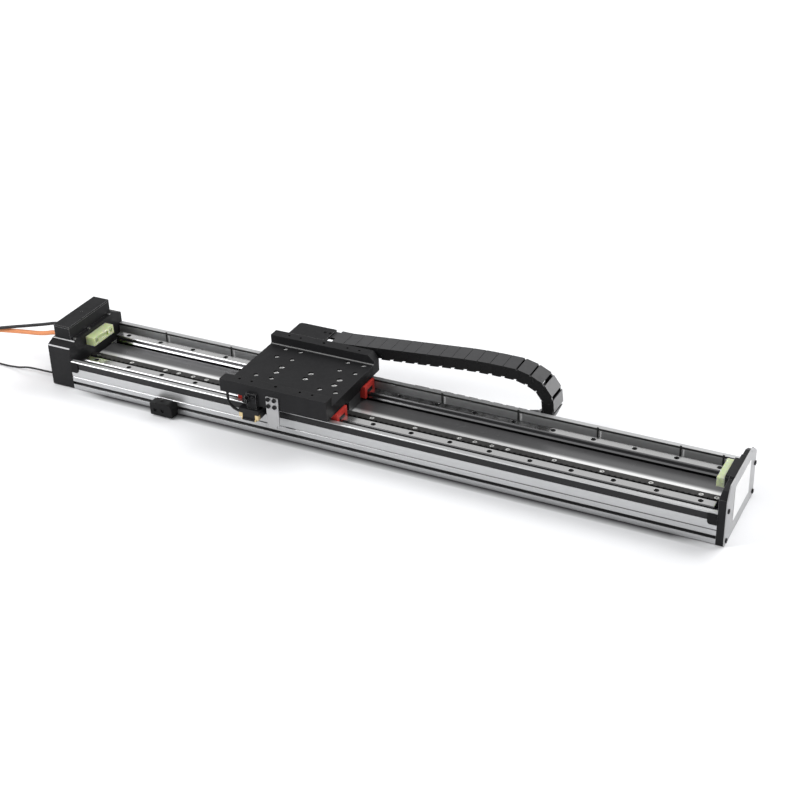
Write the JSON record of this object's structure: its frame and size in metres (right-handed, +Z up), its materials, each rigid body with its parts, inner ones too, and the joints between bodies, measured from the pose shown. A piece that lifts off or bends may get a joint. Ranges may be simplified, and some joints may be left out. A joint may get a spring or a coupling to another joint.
{
  "type": "linear motor axis",
  "caption": "Linear motor axis: extruded base with two profile rails, covered magnet track, U-shaped carriage on bearing blocks, drag chain, end stops and free cables.",
  "frame": {"origin": "on the base's foot plane, midway along the base profile and midway between its sides; the centre of both foot hole patterns", "axes": "+X along the rails towards the end plate, -Y towards the scale side, +Z up"},
  "size_m": [1.5182, 0.2194, 0.1074],
  "materials": {
    "profile_aluminium": "clear anodised, fine extrusion lines",
    "rail_steel": "ground steel",
    "black_screws": "black oxide",
    "bright_screws": "polished steel",
    "back_iron": "plated iron",
    "magnet_nickel": "nickel plated",
    "stainless_cover": "glossy brushed stainless",
    "dark_bar": "black oxide, slightly glossy",
    "dark_trim": "matte dark",
    "black_anodised": "black anodised, satin",
    "carriage_anodised": "black anodised, satin",
    "silver_plate": "clear anodised",
    "urethane": "translucent urethane",
    "black_plastic": "matte",
    "scale_tape": "satin tape",
    "chain_plastic": "satin glass-filled plastic",
    "block_steel": "ground steel",
    "red_plastic": "moulded",
    "coil_resin": "potting resin",
    "read_head_body": "moulded body with gold coloured sides",
    "black_cable": "matte jacket",
    "orange_cable": "smooth jacket",
    "plug_metal": "nickel plated"
  },
  "bodies": {
    "base": {"base_profile": "profile_aluminium", "front_rail": "rail_steel", "rear_rail": "rail_steel", "rail_screws": "black_screws", "magnet_plates": "back_iron", "magnets": "magnet_nickel", "magnet_cover": "stainless_cover", "magnet_clamp_bars": "dark_bar", "magnet_screws": "bright_screws", "wall_trim": "dark_trim", "rail_pins": "bright_screws", "left_end_block": "black_anodised", "end_block_screws": "bright_screws", "right_end_plate": "black_anodised", "right_cover_plate": "silver_plate", "cover_plate_screws": "black_screws", "left_bumper": "urethane", "right_bumper": "urethane", "bumper_screws": "bright_screws", "junction_box": "black_anodised", "junction_lid": "black_anodised", "power_gland": "black_plastic", "encoder_gland": "black_plastic", "sensor_gland": "black_plastic", "scale_strip": "scale_tape", "scale_clips": "black_plastic", "limit_sensor": "black_plastic", "limit_sensor_clamp": "black_anodised", "limit_sensor_screws": "black_screws", "chain_tray": "black_anodised", "chain_fixed_end": "chain_plastic", "chain_lower_run": "chain_plastic", "power_cable": "orange_cable", "power_plug": "plug_metal", "encoder_cable": "black_cable", "encoder_plug": "plug_metal", "sensor_cable": "black_cable", "sensor_plug": "black_plastic"},
    "carriage": {"carriage_plate": "carriage_anodised", "block_front_left": "block_steel", "block_front_right": "block_steel", "block_rear_left": "block_steel", "block_rear_right": "block_steel", "block_caps": "red_plastic", "block_screws": "bright_screws", "forcer_plate": "carriage_anodised", "forcer": "coil_resin", "forcer_screws": "bright_screws", "read_head_bracket": "black_anodised", "read_head": "read_head_body", "read_head_lead": "black_cable", "sensor_flag": "silver_plate", "flag_screws": "black_screws", "chain_bracket": "black_anodised", "chain_bracket_screws": "black_screws", "chain_moving_end": "chain_plastic", "chain_upper_run": "chain_plastic"},
    "upper_bend": {"chain_bend_upper": "chain_plastic"},
    "lower_bend": {"chain_bend_lower": "chain_plastic"}
  },
  "joints": [
    {"name": "carriage_slide", "type": "slide", "parent": "base", "child": "carriage", "axis": [1, 0, 0], "range_m": [-0.26, 0.54]},
    {"name": "upper_bend_slide", "type": "slide", "parent": "carriage", "child": "upper_bend", "axis": [1, 0, 0], "range_m": [-0.275, 0.135], "deforming": ["chain_upper_run"]},
    {"name": "lower_bend_slide", "type": "slide", "parent": "base", "child": "lower_bend", "axis": [1, 0, 0], "range_m": [-0.135, 0.275], "deforming": ["chain_lower_run"]}
  ],
  "couplings": [
    {"joint": "upper_bend_slide", "follows": "carriage_slide", "ratio": -0.5},
    {"joint": "lower_bend_slide", "follows": "carriage_slide", "ratio": 0.5}
  ]
}
